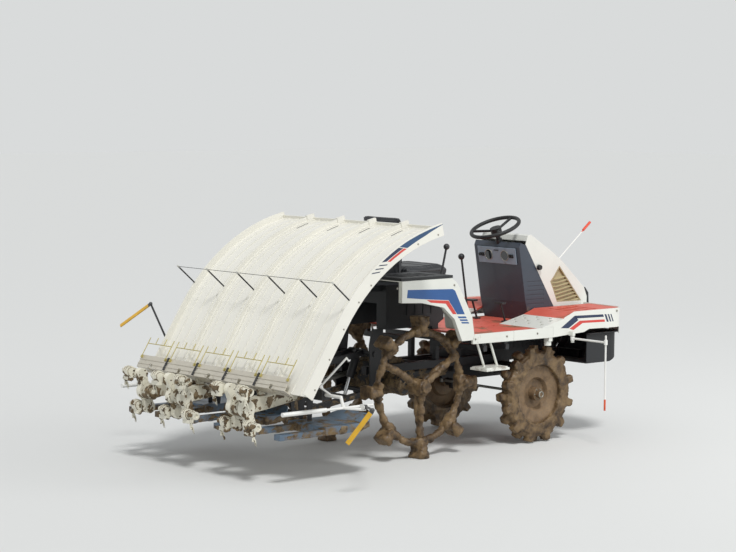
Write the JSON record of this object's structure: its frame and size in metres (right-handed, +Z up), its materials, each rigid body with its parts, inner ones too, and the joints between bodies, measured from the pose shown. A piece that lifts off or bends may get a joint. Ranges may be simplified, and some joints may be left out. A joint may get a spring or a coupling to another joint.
{
  "type": "ride-on rice transplanter",
  "caption": "Ride-on rice transplanter with lugged wheels, a seat and bonnet, and a lifting rear section with a curved seedling table, rotary planting arms and floats.",
  "frame": {"origin": "on the ground, midway between the rear wheels, below the rear axle", "axes": "+X forward, +Y to the left, +Z up"},
  "size_m": [3.5732, 2.4146, 1.52],
  "materials": {
    "frame_black": "satin black enamel",
    "engine_iron": "cast grey",
    "black_plastic": "moulded, low sheen",
    "red_plastic": "sun-faded red, grained",
    "white_panel": "off-white enamel",
    "seat_vinyl": "black vinyl",
    "slate_plastic": "dark slate, low sheen",
    "beige_plastic": "beige, grained",
    "white_rod": "white enamel",
    "bare_steel": "bare steel, dulled",
    "chrome_rod": "hard chrome",
    "tyre": "solid rubber, muddy",
    "wheel_paint": "grey enamel under mud",
    "wheel_rubber": "rubber lugs on a steel rim, muddy",
    "cast_alloy": "cream enamel on castings",
    "float_plastic": "blow-moulded blue-grey",
    "rail_aluminium": "extruded, satin",
    "wire": "yellow-passivated wire",
    "table_plastic": "off-white moulded",
    "marker_steel": "yellow enamel blade on a grey arm"
  },
  "bodies": {
    "chassis": {"main_frame": "frame_black", "lift_brackets": "frame_black", "bonnet_brackets": "frame_black", "engine": "engine_iron", "engine_covers": "black_plastic", "transmission_case": "frame_black", "rear_axle_case": "frame_black", "front_undertray": "black_plastic", "floor_panels": "red_plastic", "side_skirts": "white_panel", "front_fenders": "white_panel", "rear_fenders": "white_panel", "rear_deck": "black_plastic", "seat_plinth": "black_plastic", "seat_cushion": "seat_vinyl", "seat_back": "seat_vinyl", "dash_cover": "slate_plastic", "steering_column": "frame_black", "boarding_steps": "white_panel", "levers": "frame_black"},
    "bonnet": {"bonnet": "white_panel", "louvre_panels": "beige_plastic", "nose_grille": "black_plastic", "centre_pole": "white_rod"},
    "steering_wheel": {"steering_wheel": "black_plastic"},
    "knuckle_left": {"knuckle_left": "frame_black"},
    "knuckle_right": {"knuckle_right": "frame_black"},
    "tie_rod": {"tie_rod": "bare_steel"},
    "front_wheel_left": {"front_tyre_left": "tyre", "front_rim_left": "wheel_paint"},
    "front_wheel_right": {"front_tyre_right": "tyre", "front_rim_right": "wheel_paint"},
    "rear_wheel_left": {"rear_wheel_left": "wheel_rubber"},
    "rear_wheel_right": {"rear_wheel_right": "wheel_rubber"},
    "lower_links": {"lower_links": "frame_black"},
    "upper_link": {"upper_link": "frame_black"},
    "drive_shaft": {"drive_shaft": "bare_steel"},
    "lift_barrel": {"lift_barrel": "frame_black"},
    "lift_rod": {"lift_rod": "chrome_rod"},
    "planting_section": {"hitch_frame": "frame_black", "planting_frame": "frame_black", "planting_cases": "cast_alloy", "floats": "float_plastic", "seedling_rail": "rail_aluminium", "press_wires": "wire", "side_guards": "white_rod"},
    "seedling_table": {"seedling_table": "table_plastic", "table_rods": "frame_black"},
    "planting_rotors": {"planting_rotors": "cast_alloy"},
    "planting_arms_a": {"planting_arms_a": "cast_alloy"},
    "planting_arms_b": {"planting_arms_b": "cast_alloy"},
    "line_marker_left": {"line_marker_left": "marker_steel"},
    "line_marker_right": {"line_marker_right": "marker_steel"},
    "side_marker_left": {"side_marker_left": "white_rod"},
    "side_marker_right": {"side_marker_right": "white_rod"}
  },
  "joints": [
    {"name": "bonnet_hinge", "type": "hinge", "parent": "chassis", "child": "bonnet", "pos_m": [1.868, 0, 0.814], "axis": [0, 1, 0], "range_deg": [0, 55]},
    {"name": "steering_wheel_turn", "type": "hinge", "parent": "chassis", "child": "steering_wheel", "pos_m": [1.095, 0, 1.395], "axis": [-0.3746, 0, 0.9272], "range_deg": [-380, 380]},
    {"name": "steer_left", "type": "hinge", "parent": "chassis", "child": "knuckle_left", "pos_m": [1.04, 0.33, 0.32], "axis": [0, 0, 1], "range_deg": [-38, 38]},
    {"name": "steer_right", "type": "hinge", "parent": "chassis", "child": "knuckle_right", "pos_m": [1.04, -0.33, 0.32], "axis": [0, 0, 1], "range_deg": [-38, 38]},
    {"name": "tie_rod_ball", "type": "hinge", "parent": "knuckle_right", "child": "tie_rod", "pos_m": [0.93, -0.33, 0.338], "axis": [0, 0, 1], "range_deg": [-38, 38]},
    {"name": "front_wheel_left_spin", "type": "hinge", "parent": "knuckle_left", "child": "front_wheel_left", "pos_m": [1.04, 0.45, 0.32], "axis": [0, 1, 0], "continuous": true},
    {"name": "front_wheel_right_spin", "type": "hinge", "parent": "knuckle_right", "child": "front_wheel_right", "pos_m": [1.04, -0.45, 0.32], "axis": [0, 1, 0], "continuous": true},
    {"name": "rear_wheel_left_spin", "type": "hinge", "parent": "chassis", "child": "rear_wheel_left", "pos_m": [0, 0.45, 0.45], "axis": [0, 1, 0], "continuous": true},
    {"name": "rear_wheel_right_spin", "type": "hinge", "parent": "chassis", "child": "rear_wheel_right", "pos_m": [0, -0.45, 0.45], "axis": [0, 1, 0], "continuous": true},
    {"name": "lift", "type": "hinge", "parent": "chassis", "child": "lower_links", "pos_m": [-0.13, 0, 0.4], "axis": [0, 1, 0], "range_deg": [-20, 42]},
    {"name": "upper_link_pivot", "type": "hinge", "parent": "chassis", "child": "upper_link", "pos_m": [-0.13, 0, 0.64], "axis": [0, 1, 0], "range_deg": [-20, 42]},
    {"name": "drive_shaft_joint", "type": "hinge", "parent": "chassis", "child": "drive_shaft", "pos_m": [-0.118, 0.064, 0.505], "axis": [0, 1, 0], "range_deg": [-20, 42]},
    {"name": "lift_barrel_pivot", "type": "hinge", "parent": "chassis", "child": "lift_barrel", "pos_m": [-0.13, 0, 0.64], "axis": [0, 1, 0], "range_deg": [-6, 12]},
    {"name": "lift_rod_slide", "type": "slide", "parent": "lift_barrel", "child": "lift_rod", "axis": [-0.3549, 0, -0.9349], "range_m": [-0.073, 0.036]},
    {"name": "section_level", "type": "hinge", "parent": "lower_links", "child": "planting_section", "pos_m": [-0.72416, 0, 0.3165], "axis": [0, 1, 0], "range_deg": [-42, 20]},
    {"name": "table_slide", "type": "slide", "parent": "planting_section", "child": "seedling_table", "axis": [0, 1, 0], "range_m": [0, 0.27]},
    {"name": "rotor_spin", "type": "hinge", "parent": "planting_section", "child": "planting_rotors", "pos_m": [-1.42416, 0, 0.4465], "axis": [0, 1, 0], "continuous": true},
    {"name": "arms_a_pivot", "type": "hinge", "parent": "planting_rotors", "child": "planting_arms_a", "pos_m": [-1.45263, 0, 0.55275], "axis": [0, 1, 0], "continuous": true},
    {"name": "arms_b_pivot", "type": "hinge", "parent": "planting_rotors", "child": "planting_arms_b", "pos_m": [-1.39569, 0, 0.34024], "axis": [0, 1, 0], "continuous": true},
    {"name": "line_marker_left_pivot", "type": "hinge", "parent": "planting_section", "child": "line_marker_left", "pos_m": [-0.85016, 0.905, 0.4505], "axis": [-0.9848, -0.1736, 0], "range_deg": [0, 78]},
    {"name": "line_marker_right_pivot", "type": "hinge", "parent": "planting_section", "child": "line_marker_right", "pos_m": [-0.85016, -0.905, 0.4505], "axis": [-0.9848, 0.1736, 0], "range_deg": [0, 78]},
    {"name": "side_marker_left_fold", "type": "hinge", "parent": "chassis", "child": "side_marker_left", "pos_m": [1.207, 0.622, 0.69], "axis": [0, 0, 1], "range_deg": [-90, 0]},
    {"name": "side_marker_right_fold", "type": "hinge", "parent": "chassis", "child": "side_marker_right", "pos_m": [1.207, -0.622, 0.69], "axis": [0, 0, 1], "range_deg": [0, 90]}
  ],
  "couplings": [
    {"joint": "steer_left", "follows": "steer_right", "ratio": 1},
    {"joint": "tie_rod_ball", "follows": "steer_right", "ratio": -1},
    {"joint": "steering_wheel_turn", "follows": "steer_right", "ratio": 10},
    {"joint": "upper_link_pivot", "follows": "lift", "ratio": 1},
    {"joint": "drive_shaft_joint", "follows": "lift", "ratio": 1},
    {"joint": "section_level", "follows": "lift", "ratio": -1},
    {"joint": "lift_barrel_pivot", "follows": "lift", "ratio": 0.2514},
    {"joint": "lift_rod_slide", "follows": "lift", "m_per_rad": -0.0976},
    {"joint": "arms_a_pivot", "follows": "rotor_spin", "ratio": -1},
    {"joint": "arms_b_pivot", "follows": "rotor_spin", "ratio": -1}
  ]
}
